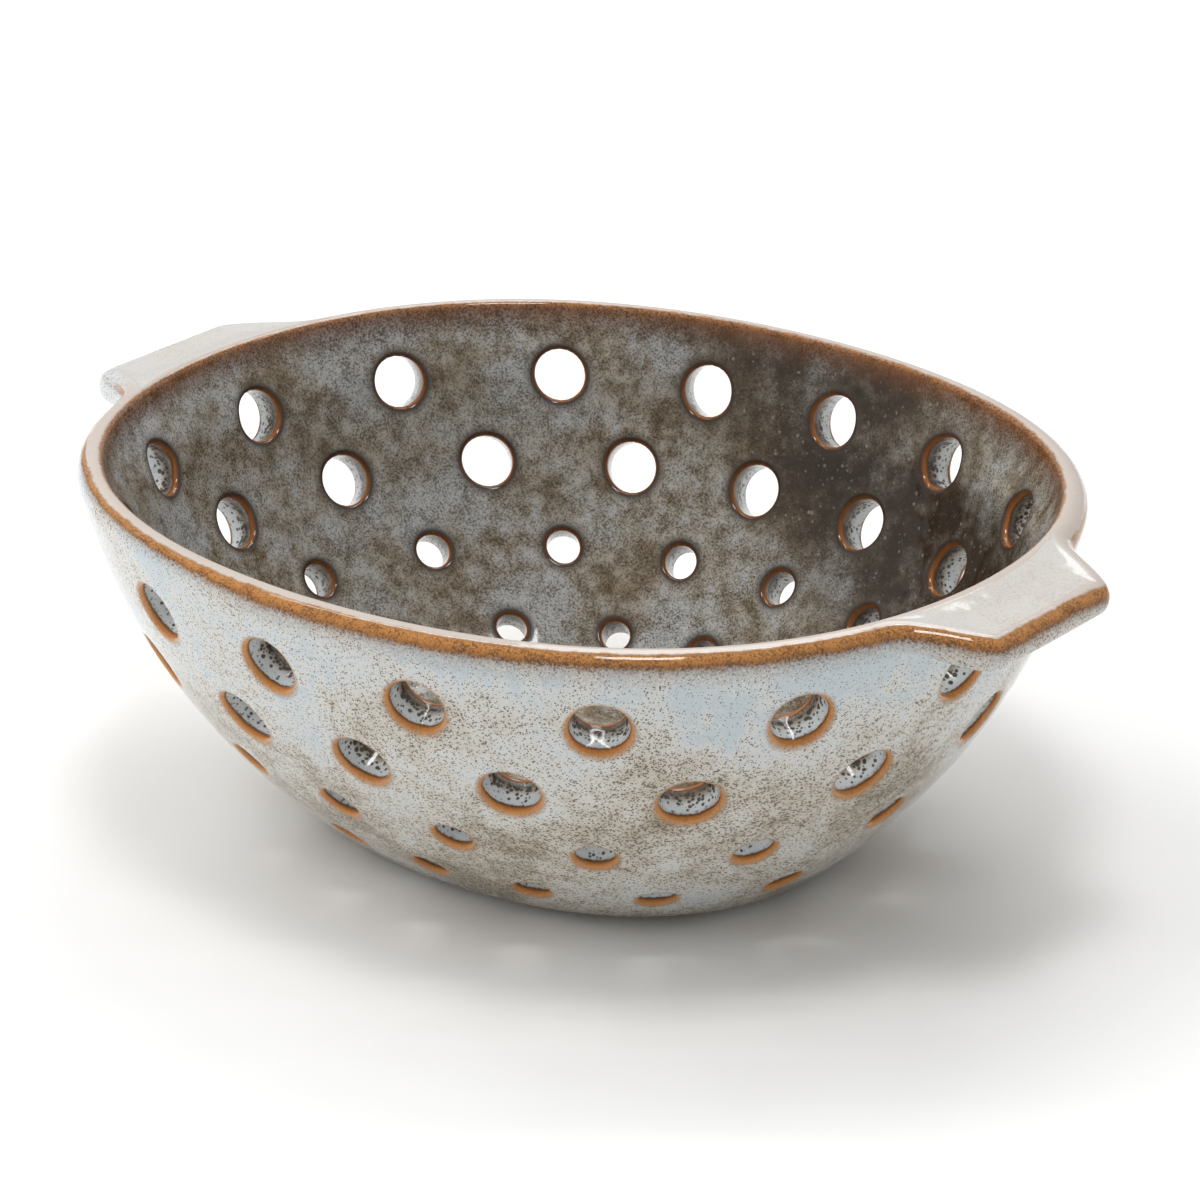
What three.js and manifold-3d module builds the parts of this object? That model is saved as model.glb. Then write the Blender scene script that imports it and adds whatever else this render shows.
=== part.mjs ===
// Oval stoneware berry bowl for rinsing and draining: four rows of drain holes through the wall,
// two flat lug handles luted to the ends of the rim, and a low foot ring luted under the base.
// Millimetres. The bowl stands on Z = 0, +Z is up, and the handles lie along X.
import * as THREE from 'three';
import { mergeVertices } from 'three/addons/utils/BufferGeometryUtils.js';
import Module from 'manifold-3d';

const wasm = await Module();
wasm.setup();

// Body
const RIM_LENGTH = 202;         // over the outside of the lip, along X
const RIM_WIDTH = 177.4;        // over the outside of the lip, along Y
const BASE_LENGTH = 113;        // over the edge where the wall turns under, along X
const HEIGHT = 76.5;            // table to the top of the lip
const BELLY_RISE = 7.5;         // bow of the wall out from the straight line between lip and base
const OVAL_FULLNESS = 0.03;     // swell of the oval at 45 degrees, as a share of its radius
const LIP = 5.1;                // thickness of the rounded lip
const LIP_TAPER = 14;           // height under the lip in which the wall thins to it
const WALL = 8;                 // thickness of the wall below that
const FLOOR = 6.5;              // thickness of the floor
const FLOOR_FILLET = 9;         // radius between the inside of the wall and the floor
const BASE_ROUND = 4;           // radius where the wall turns under

// Drain holes
const HOLES_PER_ROW = 16;
const TOP_ROW_DEPTH = 16.5;     // top of the lip to the middle of the first row
const BOTTOM_ROW_HEIGHT = 11;   // table to the middle of the last row
const ROW_BORES = [11.4, 11.4, 7.6, 6.8];  // from the top row down
const HOLE_EASE = 1.3;          // eased edge round the outer end of each hole
const DRAIN_TURN = -3.7;        // degrees that the pattern of holes stands off the handles' line

// Lug handles
const LUG_REACH = 12.2;         // outside of the lip to the outer edge of a handle
const LUG_EDGE_LENGTH = 30;     // straight part of the outer edge
const LUG_ROOT_LENGTH = 62;     // along the rim, between the ends of the swept-back sides
const LUG_THICKNESS = 7.6;
const LUG_DROOP = 2;            // how far a handle's outer edge hangs below the lip
const LUG_ROUND = 3.4;          // rounding of the upper and lower edges
const LUG_COVE = 1.8;           // fillet under the handle, against the wall

// Foot
const FOOT_HEIGHT = 1.6;
const FOOT_WIDTH = 6;           // of the ring, seen from below
const FOOT_SETBACK = 5;         // edge of the base to the outside of the foot
const FOOT_ROUND = 0.6;         // rounding of the foot's lower edges

const SLIP_JOINT = 0.3;         // layer of slip between luted pieces

// Facets
const ROUND_STEPS = 48;
const BELLY_STEPS = 7;
const TAPER_STEPS = 3;
const LIP_STEPS = 6;
const FILLET_STEPS = 3;
const BORE_STEPS = 10;
const LUG_STEPS = 28;
const EDGE_STEPS = 3;
const SAME_POINT = 1e-4;        // points nearer than this are one
const NUDGE = 1e-3;             // step for measuring the slope of the wall

// Worked out from the values above
const ovalShift = (RIM_LENGTH - RIM_WIDTH) / 4;
const rimRadius = (RIM_LENGTH + RIM_WIDTH) / 4;
const baseRadius = BASE_LENGTH / 2 - ovalShift;
const lipLevel = HEIGHT - LIP / 2;
const baseLevel = FOOT_HEIGHT + SLIP_JOINT;
const floorLevel = baseLevel + FLOOR;

// The outside of the wall is one arc, bowed out from the chord between lip and base.
const lipPoint = new THREE.Vector2(rimRadius, lipLevel);
const basePoint = new THREE.Vector2(baseRadius, baseLevel);
const chord = lipPoint.clone().sub(basePoint);
const bellyRadius = chord.length() ** 2 / (8 * BELLY_RISE) + BELLY_RISE / 2;
const chordNormal = new THREE.Vector2(chord.y, -chord.x).normalize();
const bellyCentre = lipPoint.clone().add(basePoint).multiplyScalar(0.5);
bellyCentre.addScaledVector(chordNormal, BELLY_RISE - bellyRadius);
const lipTurn = turnOf(lipPoint);
const baseTurn = turnOf(basePoint);

// Direction of a point of the section from the centre of the belly's arc.
function turnOf(point) {
  return Math.atan2(point.y - bellyCentre.y, point.x - bellyCentre.x);
}

// A point of the wall's section: share 0 is the base and 1 the lip, depth is how far inside the outer face.
function sectionPoint(share, depth) {
  const turn = THREE.MathUtils.lerp(baseTurn, lipTurn, share);
  const radius = bellyRadius - depth;
  return new THREE.Vector2(
    bellyCentre.x + radius * Math.cos(turn),
    bellyCentre.y + radius * Math.sin(turn),
  );
}

// A round of some radius between a flat level and the wall's arc at some depth: it touches the arc where both
// circles share a radius.
function roundToWall(level, depth, radius) {
  const reach = bellyRadius - depth - radius;
  const rise = level + radius - bellyCentre.y;
  const centre = new THREE.Vector2(bellyCentre.x + Math.sqrt(reach ** 2 - rise ** 2), level + radius);
  const turn = turnOf(centre);
  return { centre, turn, share: (turn - baseTurn) / (lipTurn - baseTurn) };
}

const baseRound = roundToWall(baseLevel, 0, BASE_ROUND);
const floorRound = roundToWall(floorLevel, WALL, FLOOR_FILLET);

// Where on the arc the outer face stands at a given level.
function shareAtLevel(level) {
  const turn = Math.asin((level - bellyCentre.y) / bellyRadius);
  return (turn - baseTurn) / (lipTurn - baseTurn);
}

const taperShare = shareAtLevel(lipLevel - LIP_TAPER);

// Thickness of the wall, which is even up to the taper and then eases into the lip.
function thickness(share) {
  return THREE.MathUtils.lerp(WALL, LIP, THREE.MathUtils.smoothstep(share, taperShare, 1));
}

// Turns a round section into the bowl's oval: the same shift all the way up the wall, so that the oval
// keeps its difference between length and width, fading to nothing over the floor.
function toOval(radius, angle, level) {
  const shift = ovalShift * Math.min(1, radius / (baseRadius - WALL));
  const swell = 1 + OVAL_FULLNESS * (1 - Math.cos(4 * angle)) / 2;
  return new THREE.Vector3(
    (radius + shift) * Math.cos(angle) * swell,
    (radius - shift) * Math.sin(angle) * swell,
    level,
  );
}

// Revolves a profile of (radius, level) points about Z and draws it out to the oval.
function ovalLathe(profile) {
  const geometry = new THREE.LatheGeometry(profile, ROUND_STEPS);
  geometry.rotateX(Math.PI / 2);
  const position = geometry.attributes.position;
  for (let i = 0; i < position.count; i += 1) {
    const x = position.getX(i);
    const y = position.getY(i);
    const point = toOval(Math.hypot(x, y), Math.atan2(y, x), position.getZ(i));
    position.setXYZ(i, point.x, point.y, point.z);
  }
  return geometry;
}

// A closed three.js geometry as a solid that can be joined and cut.
function solid(geometry) {
  const bare = geometry.clone();
  bare.deleteAttribute('normal');
  bare.deleteAttribute('uv');
  const merged = mergeVertices(bare, SAME_POINT);
  const mesh = new wasm.Mesh({
    numProp: 3,
    vertProperties: new Float32Array(merged.attributes.position.array),
    triVerts: new Uint32Array(merged.index.array),
  });
  mesh.merge();
  return new wasm.Manifold(mesh);
}

// A solid back as a geometry.
function toGeometry(body) {
  const mesh = body.getMesh();
  const geometry = new THREE.BufferGeometry();
  geometry.setAttribute('position', new THREE.BufferAttribute(mesh.vertProperties, 3));
  geometry.setIndex(new THREE.BufferAttribute(mesh.triVerts, 1));
  geometry.computeVertexNormals();
  return geometry;
}

function piece(name, body, colour, roughness) {
  const material = new THREE.MeshStandardMaterial({ color: colour, roughness, metalness: 0 });
  const mesh = new THREE.Mesh(toGeometry(body), material);
  mesh.name = name;
  return mesh;
}

// Points of an arc about a centre, both ends included.
function arc(centre, radius, from, to, steps) {
  return Array.from({ length: steps + 1 }, (_, i) => {
    const turn = THREE.MathUtils.lerp(from, to, i / steps);
    return new THREE.Vector2(centre.x + radius * Math.cos(turn), centre.y + radius * Math.sin(turn));
  });
}

// Shares of the wall's arc, evenly stepped.
function shares(from, to, steps) {
  return Array.from({ length: steps + 1 }, (_, i) => THREE.MathUtils.lerp(from, to, i / steps));
}

// The bowl itself: flat underside, bowed outside, round lip, inside that follows it, and a filleted floor.
function bowlShell() {
  const lipCentre = new THREE.Vector2(rimRadius - LIP / 2, lipLevel);
  const turnUnder = arc(baseRound.centre, BASE_ROUND, -Math.PI / 2, baseRound.turn, FILLET_STEPS);
  const outside = shares(baseRound.share, 1, BELLY_STEPS).slice(1);
  const lip = arc(lipCentre, LIP / 2, 0, Math.PI, LIP_STEPS).slice(1);
  const taper = shares(1, taperShare, TAPER_STEPS).slice(1);
  const inside = shares(taperShare, floorRound.share, BELLY_STEPS).slice(1);
  const fillet = arc(floorRound.centre, FLOOR_FILLET, floorRound.turn, -Math.PI / 2, FILLET_STEPS).slice(1);
  return solid(ovalLathe([
    new THREE.Vector2(0, baseLevel),
    ...turnUnder,
    ...outside.map((share) => sectionPoint(share, 0)),
    ...lip,
    ...[...taper, ...inside].map((share) => sectionPoint(share, thickness(share))),
    ...fillet,
    new THREE.Vector2(0, floorLevel),
  ]));
}

// A point on the outside of the wall, at a share of its arc and an angle of the oval.
function wallPoint(share, angle) {
  const section = sectionPoint(share, 0);
  return toOval(section.x, angle, section.y);
}

// Which way the outside of the wall faces, from two short steps along it.
function wallNormal(share, angle) {
  const along = wallPoint(share, angle + NUDGE).sub(wallPoint(share, angle - NUDGE));
  const up = wallPoint(share + NUDGE, angle).sub(wallPoint(share - NUDGE, angle));
  return along.cross(up).normalize();
}

// One drain hole, bored square to the wall, with its outer edge eased at 45 degrees. The bearing is its
// direction from the middle of the bowl.
function drainBore(share, bearing, bore) {
  const radius = sectionPoint(share, 0).x;
  const angle = Math.atan2(
    (radius + ovalShift) * Math.sin(bearing),
    (radius - ovalShift) * Math.cos(bearing),
  );
  const normal = wallNormal(share, angle);
  const inward = WALL + FLOOR_FILLET;
  const geometry = new THREE.LatheGeometry([
    new THREE.Vector2(0, -inward),
    new THREE.Vector2(bore / 2, -inward),
    new THREE.Vector2(bore / 2, -HOLE_EASE),
    new THREE.Vector2(bore / 2 + HOLE_EASE, 0),
    new THREE.Vector2(bore / 2 + 2 * HOLE_EASE, HOLE_EASE),
    new THREE.Vector2(0, HOLE_EASE),
  ], BORE_STEPS);
  geometry.applyQuaternion(new THREE.Quaternion().setFromUnitVectors(new THREE.Vector3(0, 1, 0), normal));
  const place = wallPoint(share, angle);
  geometry.translate(place.x, place.y, place.z);
  return solid(geometry);
}

// Rows stand evenly along the wall, and every second row is turned by half a step.
function drainBores() {
  const topShare = shareAtLevel(HEIGHT - TOP_ROW_DEPTH);
  const bottomShare = shareAtLevel(BOTTOM_ROW_HEIGHT);
  const pitch = 2 * Math.PI / HOLES_PER_ROW;
  const rowShares = shares(topShare, bottomShare, ROW_BORES.length - 1);
  return rowShares.flatMap((share, row) => Array.from({ length: HOLES_PER_ROW }, (_, i) => {
    const bearing = (i + (row % 2) / 2) * pitch + THREE.MathUtils.degToRad(DRAIN_TURN);
    return drainBore(share, bearing, ROW_BORES[row]);
  }));
}

// How far a handle stands out at a distance along the rim from its middle: fully over the straight part of
// the edge, then falling in a smooth S-curve to nothing at the end of the root.
function lugPush(offset, half) {
  return 1 - THREE.MathUtils.smootherstep(Math.abs(offset), LUG_EDGE_LENGTH / 2, half);
}

// Outline of a handle from above, drawn in by an inset: its edge sweeps back to the middle of the lip.
function lugOutline(inset) {
  const edge = RIM_LENGTH / 2 + LUG_REACH - inset;
  const half = LUG_ROOT_LENGTH / 2 - inset;
  const rootTurn = Math.asin(half / (RIM_WIDTH / 2));
  const sweep = shares(-rootTurn, rootTurn, LUG_STEPS).map((angle) => {
    const lip = toOval(rimRadius - LIP / 2, angle, 0);
    return new THREE.Vector2(THREE.MathUtils.lerp(lip.x, edge, lugPush(lip.y, half)), lip.y);
  });
  const back = rimRadius - LIP - LUG_ROOT_LENGTH / 2;
  return new THREE.Shape([
    new THREE.Vector2(back, -half),
    ...sweep,
    new THREE.Vector2(back, half),
  ]);
}

// Outline of a handle from the end of the bowl: level with the lip on top, and below it full depth in the
// middle, thinning to the lip at the roots.
function lugFront() {
  const half = LUG_ROOT_LENGTH / 2;
  const depth = LUG_THICKNESS + LUG_COVE + LUG_DROOP;
  const under = shares(-half, half, LUG_STEPS).map((offset) => {
    const drop = THREE.MathUtils.lerp(LIP / 2, depth, lugPush(offset, half));
    return new THREE.Vector2(offset, HEIGHT - drop);
  });
  return new THREE.Shape([...under, new THREE.Vector2(half, HEIGHT), new THREE.Vector2(-half, HEIGHT)]);
}

// What a handle may not enter: the outside of the wall and of the lip, grown by the slip joint. Over the
// lip it stops rising halfway up the round, so that the handle's top runs on from the lip.
function lugSeat() {
  const lipCentre = new THREE.Vector2(rimRadius - LIP / 2, lipLevel);
  const round = arc(lipCentre, LIP / 2 + SLIP_JOINT, 0, Math.PI / 4, EDGE_STEPS).slice(1);
  const top = round[round.length - 1];
  return solid(ovalLathe([
    new THREE.Vector2(0, 0),
    ...shares(0, 1, BELLY_STEPS).map((share) => sectionPoint(share, -SLIP_JOINT)),
    ...round,
    new THREE.Vector2(top.x, HEIGHT + LIP),
    new THREE.Vector2(0, HEIGHT + LIP),
  ]));
}

// The fillet under a handle, as a ring round the whole bowl.
function coveRing() {
  const under = HEIGHT - LUG_THICKNESS;
  const wall = sectionPoint(shareAtLevel(under), 0).x;
  const centre = new THREE.Vector2(wall + LUG_COVE, under - LUG_COVE);
  return solid(ovalLathe([
    new THREE.Vector2(wall - LUG_COVE, under - LUG_COVE),
    ...arc(centre, LUG_COVE, Math.PI, Math.PI / 2, EDGE_STEPS),
    new THREE.Vector2(wall + LUG_COVE, under + LUG_ROUND),
    new THREE.Vector2(wall - LUG_COVE, under + LUG_ROUND),
    new THREE.Vector2(wall - LUG_COVE, under - LUG_COVE),
  ]));
}

// One handle, on the +X end: a flat plate with rounded edges that slopes down from the middle of the lip,
// and its fillet, thinned towards the roots and cut to sit against the wall.
function lugHandle() {
  const plate = new THREE.ExtrudeGeometry(lugOutline(0), {
    depth: LUG_THICKNESS - 2 * LUG_ROUND,
    bevelThickness: LUG_ROUND,
    bevelSize: LUG_ROUND,
    bevelOffset: -LUG_ROUND,
    bevelSegments: EDGE_STEPS,
  });
  const slope = LUG_DROOP / (LUG_REACH + LIP / 2);
  const lipMiddle = (RIM_LENGTH - LIP) / 2;
  plate.applyMatrix4(new THREE.Matrix4().makeShear(0, -slope, 0, 0, 0, 0));
  plate.translate(0, 0, HEIGHT - LUG_THICKNESS + LUG_ROUND + slope * lipMiddle);
  const underPlate = new THREE.ExtrudeGeometry(lugOutline(LUG_ROUND), {
    depth: LUG_THICKNESS / 2 + 2 * LUG_COVE,
    bevelEnabled: false,
  });
  underPlate.translate(0, 0, HEIGHT - LUG_THICKNESS - 2 * LUG_COVE);
  const front = new THREE.ExtrudeGeometry(lugFront(), { depth: RIM_LENGTH, bevelEnabled: false });
  front.rotateX(Math.PI / 2);
  front.rotateZ(Math.PI / 2);
  const cove = coveRing().intersect(solid(underPlate));
  return solid(plate).add(cove).intersect(solid(front)).subtract(lugSeat());
}

// The foot: a low ring with rounded lower edges, set in from the edge of the base.
function footRing() {
  const outer = baseRadius - FOOT_SETBACK;
  const inner = outer - FOOT_WIDTH;
  const outerRound = new THREE.Vector2(outer - FOOT_ROUND, FOOT_ROUND);
  const innerRound = new THREE.Vector2(inner + FOOT_ROUND, FOOT_ROUND);
  return solid(ovalLathe([
    new THREE.Vector2(inner, FOOT_HEIGHT),
    ...arc(innerRound, FOOT_ROUND, Math.PI, 1.5 * Math.PI, EDGE_STEPS),
    ...arc(outerRound, FOOT_ROUND, -Math.PI / 2, 0, EDGE_STEPS),
    new THREE.Vector2(outer, FOOT_HEIGHT),
    new THREE.Vector2(inner, FOOT_HEIGHT),
  ]));
}

const body = drainBores().reduce((shell, bore) => shell.subtract(bore), bowlShell());
const lug = lugHandle();

const bowl = new THREE.Group();
bowl.add(piece('bowl_body', body, '#b4bab8', 0.25));
bowl.add(piece('lug_handle_right', lug, '#d8d6d1', 0.25));
const leftLug = piece('lug_handle_left', lug, '#d8d6d1', 0.25);
leftLug.rotation.z = Math.PI;
bowl.add(leftLug);
bowl.add(piece('foot_ring', footRing(), '#b9a58f', 0.6));

export default bowl;
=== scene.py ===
# Oval stoneware berry bowl: glazed body with four rows of drain holes, two lug handles and a bare foot ring.
# Every surface is a numpy grid in metres, on the same section and oval as the solids that it stands for.
import math
from types import SimpleNamespace

import bpy
import numpy as np
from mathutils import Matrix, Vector


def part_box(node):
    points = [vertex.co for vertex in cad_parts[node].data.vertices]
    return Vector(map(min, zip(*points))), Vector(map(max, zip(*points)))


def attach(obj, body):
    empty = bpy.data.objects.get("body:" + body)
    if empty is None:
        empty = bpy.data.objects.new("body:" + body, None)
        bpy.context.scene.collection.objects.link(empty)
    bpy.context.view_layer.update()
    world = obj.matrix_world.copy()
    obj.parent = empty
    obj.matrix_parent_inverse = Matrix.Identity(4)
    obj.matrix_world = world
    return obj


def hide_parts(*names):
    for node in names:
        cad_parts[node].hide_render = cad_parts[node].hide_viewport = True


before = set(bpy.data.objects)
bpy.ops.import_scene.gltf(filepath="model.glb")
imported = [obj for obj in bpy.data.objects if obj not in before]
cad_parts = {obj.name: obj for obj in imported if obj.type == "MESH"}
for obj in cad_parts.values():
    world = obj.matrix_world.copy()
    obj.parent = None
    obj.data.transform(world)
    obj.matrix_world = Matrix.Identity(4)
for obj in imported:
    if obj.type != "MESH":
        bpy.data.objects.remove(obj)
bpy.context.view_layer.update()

MM = 0.001

# Sizes that the frame gives
body_low, body_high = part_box("bowl_body")
RIM_LENGTH = body_high.x - body_low.x
RIM_WIDTH = body_high.y - body_low.y
HEIGHT = body_high.z
BASE_LEVEL = body_low.z
LUG_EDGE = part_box("lug_handle_right")[1].x
FOOT_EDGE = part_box("foot_ring")[1].x

# Section of the body
BASE_LENGTH = 113 * MM          # over the edge where the wall turns under, along X
BELLY_RISE = 7.5 * MM           # bow of the wall out from the line between lip and base
OVAL_FULLNESS = 0.03            # swell of the oval at 45 degrees, as a share of its radius
LIP = 5.1 * MM                  # thickness of the lip
LIP_TAPER = 14 * MM             # height under the lip in which the wall thins to it
LIP_OUTER = (3.7 * MM, 3.4 * MM)  # outer round of the lip: half-widths across and down
LIP_INNER = 1.4 * MM            # radius of its inner round
LIP_BLEND = 4 * MM              # way over the lip in which the outside becomes the inside
WALL = 8 * MM
FLOOR = 6.5 * MM
FLOOR_FILLET = 9 * MM
BASE_ROUND = 4 * MM

# Drain holes
HOLES_PER_ROW = 16
TOP_ROW_DEPTH = 16.5 * MM       # top of the lip to the middle of the first row
BOTTOM_ROW_HEIGHT = 11 * MM
ROW_BORES = np.array([11.4, 11.4, 7.6, 6.8]) * MM
ROW_EASES = np.array([1.2, 1.2, 1.0, 0.9]) * MM   # radius of the soft edge of a hole, each end
DRAIN_TURN = math.radians(-3.7)  # of all the holes, off the line of the handles

# Lug handles
LUG_EDGE_LENGTH = 30 * MM       # straight part of the outer edge
LUG_ROOT_LENGTH = 62 * MM       # along the rim, between the ends of the swept-back sides
LUG_DROOP = 2 * MM              # how far the outer edge hangs below the lip
LUG_NOSE = (3.6 * MM, 3.4 * MM)  # upper round of the outer edge: half-widths across and down
LUG_FACE = 7.4 * MM             # pull of the outer face downwards before it turns under
LUG_COVE = 2.6 * MM             # pull of the underside up along the wall where it runs out
LUG_ROOT_PULL = 0.7 * MM        # both pulls at the roots
LUG_ROOT_DEPTH = 9.2 * MM       # top of the handle to where its underside runs into the wall
LUG_DISH = 0.4 * MM             # hollow of the flat top
LUG_SINK = 1.5 * MM             # how far the hidden back of a handle lies inside the wall
# A handle's plain top is milky glaze, lightened in part as a painted sheen
LUG_TOP_FROM = 0.3              # share of the push from which a handle's top is plain glaze
LUG_PLATE_POWER = 4             # how fast the flat top opens out from the roots
GLAZE_LAP = 0.03 * MM           # glaze of a handle over the glaze of the lip

# Foot
FOOT_WIDTH = 6 * MM
FOOT_ROUND = 0.6 * MM
FOOT_SINK = FOOT_ROUND / 3      # how far the ring's hidden top lies inside the base

# Grid steps
CELL_ACROSS = 12                # along the top and bottom of the cell round each hole
CELL_UP = 8                     # along its sides
CELL_SPREAD = np.array([1, 0.72, 0.48, 0.28, 0.12, 0])  # rings over a face, from border to hole
EDGE_STEPS = 6                  # round the soft edge of a hole
BORE_STEPS = 5                  # through the wall
AROUND = HOLES_PER_ROW * CELL_ACROSS
RIM_RISE_STEPS = 3              # outside, from the cells to the lip
RIM_FALL_STEPS = 6              # inside, from the lip to the cells
LIP_OUTER_STEPS = 12
LIP_INNER_STEPS = 8
BASE_FALL_STEPS = 2             # outside, from the cells to the round under them
ROUND_STEPS = 8                 # round the edge of the base, and along the fillet of the floor
FLAT_STEPS = 7                  # over the underside and the floor to their middles
LUG_ALONG = 144
LUG_TOP_STEPS = 12
LUG_NOSE_STEPS = 10
LUG_UNDER_STEPS = 20
FOOT_ROUND_STEPS = 6
SCALE_STEP = 1e-4               # of bearing or of share, to measure lengths along the wall
LEAN_STEP = 0.01                # of share, to measure the lean of the wall

FAR = 50 * MM                   # stands for "nowhere near" in the run attributes
SAME_POINT = 1e-4 * MM          # points as near as this become one
SHARP_EDGE = math.radians(50)   # edges that turn by more stay sharp
DOWN = np.array([0, 0, -1])

# Worked out from the sizes above. The outer face of the wall is the belly, a shallow arc over the chord from
# the edge of the base to the lip.
oval_shift = (RIM_LENGTH - RIM_WIDTH) / 4
rim_radius = (RIM_LENGTH + RIM_WIDTH) / 4
base_radius = BASE_LENGTH / 2 - oval_shift
lip_level = HEIGHT - LIP / 2
floor_level = BASE_LEVEL + FLOOR
chord = np.array([rim_radius - base_radius, lip_level - BASE_LEVEL])
chord_length = np.hypot(*chord)
chord_normal = np.array([chord[1], -chord[0]]) / chord_length
chord_middle = np.array([base_radius, BASE_LEVEL]) + chord / 2
belly_radius = chord_length ** 2 / (8 * BELLY_RISE) + BELLY_RISE / 2
belly_centre = chord_middle + chord_normal * (BELLY_RISE - belly_radius)


def turn_of(radius, level):
    """Direction of a point of the section from the centre of the belly's arc."""
    return np.arctan2(level - belly_centre[1], radius - belly_centre[0])


base_turn = turn_of(base_radius, BASE_LEVEL)
lip_turn = turn_of(rim_radius, lip_level)


def share_of(turn):
    """How far up the wall a direction of the belly's arc stands: 0 at the base, 1 at the lip."""
    return (turn - base_turn) / (lip_turn - base_turn)


def share_at_level(level):
    """Share of the wall's arc at which the outer face stands at a level."""
    return share_of(np.arcsin((level - belly_centre[1]) / belly_radius))


def arc_point(share, depth):
    """Radius and level on the belly's arc, moved in along its own radius by a depth."""
    turn = base_turn + share * (lip_turn - base_turn)
    reach = belly_radius - depth
    return belly_centre[0] + reach * np.cos(turn), belly_centre[1] + reach * np.sin(turn)


def round_point(centre, radii, turn):
    """Radius and level at a turn on a round of the section. The radii are one number for a circle, or an
    ellipse's half-widths across and down."""
    across, down = np.broadcast_to(radii, 2)
    return centre[0] + across * np.cos(turn), centre[1] + down * np.sin(turn)


def round_to_wall(level, depth, radius):
    """A round between a flat level and the wall's arc at a depth: its centre, and the turn where it meets the
    wall."""
    reach = belly_radius - depth - radius
    rise = level + radius - belly_centre[1]
    centre = np.array([belly_centre[0] + math.sqrt(reach ** 2 - rise ** 2), level + radius])
    return centre, turn_of(*centre)


base_round_centre, base_round_turn = round_to_wall(BASE_LEVEL, 0, BASE_ROUND)
fillet_centre, fillet_turn = round_to_wall(floor_level, WALL, FLOOR_FILLET)
fillet_share = share_of(fillet_turn)

# The lip's outer round is part of an ellipse that leaves the wall where both lean alike. Its inner round is
# part of a circle that runs into the inside of the wall at the same lean.
lean = -lip_turn
outer_start = -math.atan(math.tan(lean) * LIP_OUTER[1] / LIP_OUTER[0])
join_level = HEIGHT - LIP_OUTER[1] + LIP_OUTER[1] * math.sin(outer_start)
join_share = share_at_level(join_level)
crest_radius = arc_point(join_share, 0)[0] - LIP_OUTER[0] * math.cos(outer_start)
outer_centre = (crest_radius, HEIGHT - LIP_OUTER[1])
inner_centre = (crest_radius, HEIGHT - LIP_INNER)
inner_end = math.pi - lean
inner_join = np.array(round_point(inner_centre, LIP_INNER, inner_end))
inner_lip_share = share_of(turn_of(*inner_join))
inner_lip_depth = belly_radius - np.hypot(*(inner_join - belly_centre))
taper_share = share_at_level(lip_level - LIP_TAPER)
arc_length = belly_radius * (lip_turn - base_turn)
outer_lip_run = (math.pi / 2 - outer_start) * (LIP_OUTER[0] + LIP_OUTER[1]) / 2
inner_lip_run = (inner_end - math.pi / 2) * LIP_INNER


def fillet_way(share):
    """Turn along the floor's fillet that is as long as the way from its start down to a share of the wall."""
    return (share - fillet_share) * (lip_turn - base_turn) * (belly_radius - WALL) / FLOOR_FILLET


def inner_point(share):
    """Radius and level of the inside: the arc at the wall's thickness, easing to the lip's over the taper,
    and below the fillet's start the same length of way along the fillet."""
    ease = np.clip((share - taper_share) / (inner_lip_share - taper_share), 0, 1)
    depth = WALL + (inner_lip_depth - WALL) * ease * ease * (3 - 2 * ease)
    radius, level = arc_point(share, depth)
    below = np.minimum(fillet_way(share), 0)
    fillet_radius, fillet_level = round_point(fillet_centre, FLOOR_FILLET, fillet_turn + below)
    return np.where(below < 0, fillet_radius, radius), np.where(below < 0, fillet_level, level)


def to_oval(radius, angle, level):
    """Draws a round section out to the oval: a shift that lengthens X and narrows Y, and a small swell at 45
    degrees."""
    shift = oval_shift * np.minimum(1, radius / (base_radius - WALL))
    swell = 1 + OVAL_FULLNESS * (1 - np.cos(4 * angle)) / 2
    x = (radius + shift) * np.cos(angle) * swell
    y = (radius - shift) * np.sin(angle) * swell
    return np.stack(np.broadcast_arrays(x, y, level), axis=-1)


def angle_at(bearing, share):
    """The oval's own angle for a direction from the middle of the bowl, at a share of the wall."""
    radius = arc_point(share, 0)[0]
    return np.arctan2((radius + oval_shift) * np.sin(bearing), (radius - oval_shift) * np.cos(bearing))


def shell_point(bearing, share, near, through):
    """A point in the wall: near is a depth under the outer face, through the part gone to the inner face."""
    outer_radius, outer_level = arc_point(share, 0)
    near_radius, near_level = arc_point(share, near)
    inner_radius, inner_level = inner_point(share)
    radius = near_radius + through * (inner_radius - outer_radius)
    level = near_level + through * (inner_level - outer_level)
    return to_oval(radius, angle_at(bearing, share), level)


def grid_quads(rows, columns):
    """Corner numbers of the faces of a grid, row by row, with its last column joined to the first."""
    here = np.arange(rows - 1)[:, None] * columns
    above = here + columns
    column = np.arange(columns)[None, :]
    following = (column + 1) % columns
    corners = [here + column, here + following, above + following, above + column]
    return np.stack(corners, axis=-1).reshape(-1, 4)


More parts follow.
